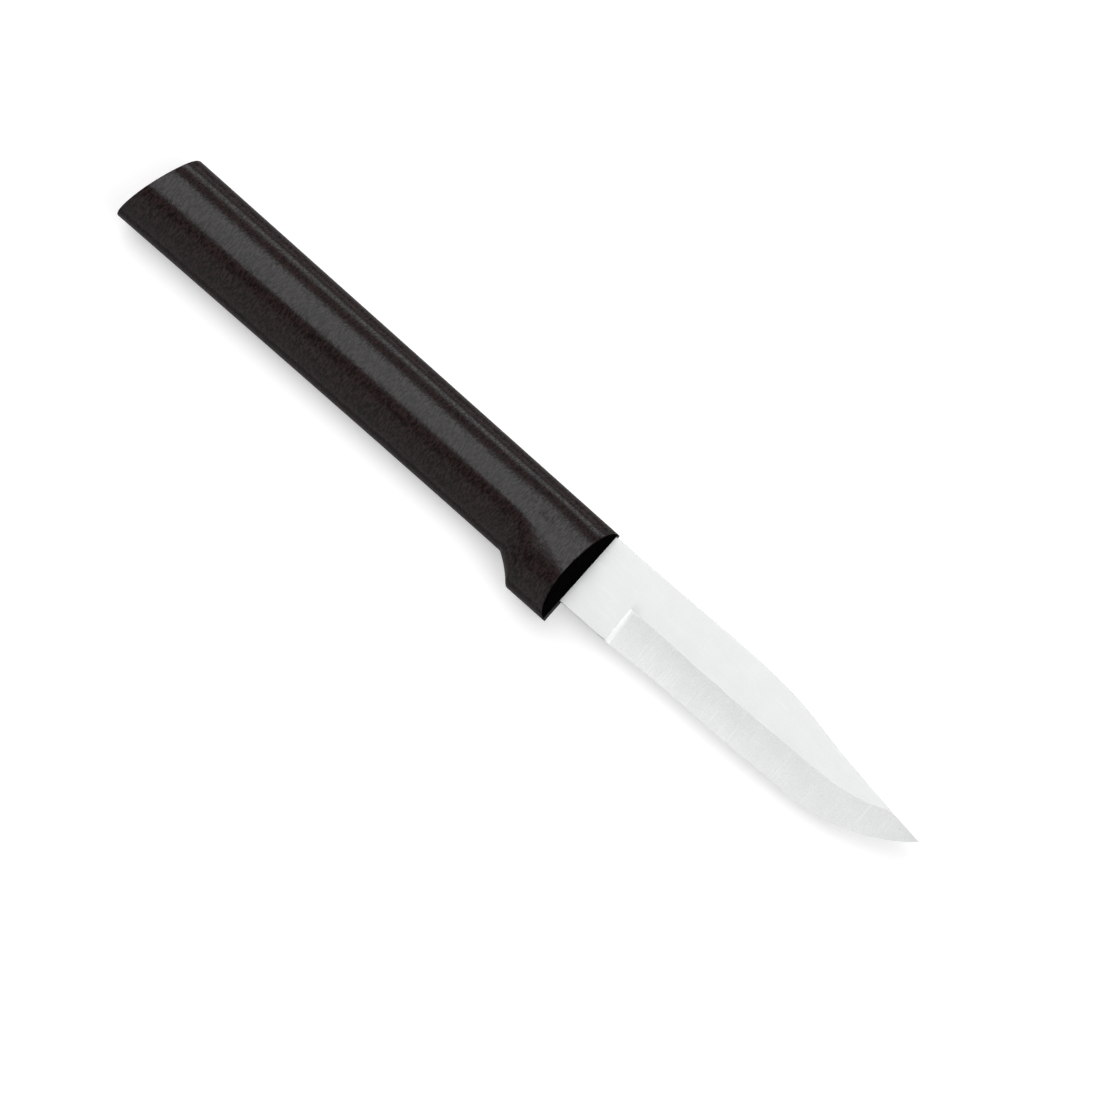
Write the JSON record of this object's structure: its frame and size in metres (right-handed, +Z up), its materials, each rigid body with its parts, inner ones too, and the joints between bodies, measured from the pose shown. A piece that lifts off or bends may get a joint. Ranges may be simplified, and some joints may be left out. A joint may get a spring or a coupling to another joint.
{
  "type": "paring knife",
  "caption": "Small kitchen knife with a hollow-ground clip-shaped steel blade, a square ricasso, and a moulded black resin handle with a finger guard.",
  "frame": {"origin": "under the middle of the knife as it lies on its side: X and Y at the middle of the length and height, Z on the surface it lies on", "axes": "+X towards the blade's tip, +Y towards the spine, +Z up, square to the blade's flat"},
  "size_m": [0.18, 0.02, 0.0133],
  "materials": {
    "blade_steel": "bright satin",
    "handle_resin": "fine-grained satin black"
  },
  "bodies": {
    "root": {"blade": "blade_steel", "handle": "handle_resin"}
  },
  "joints": []
}
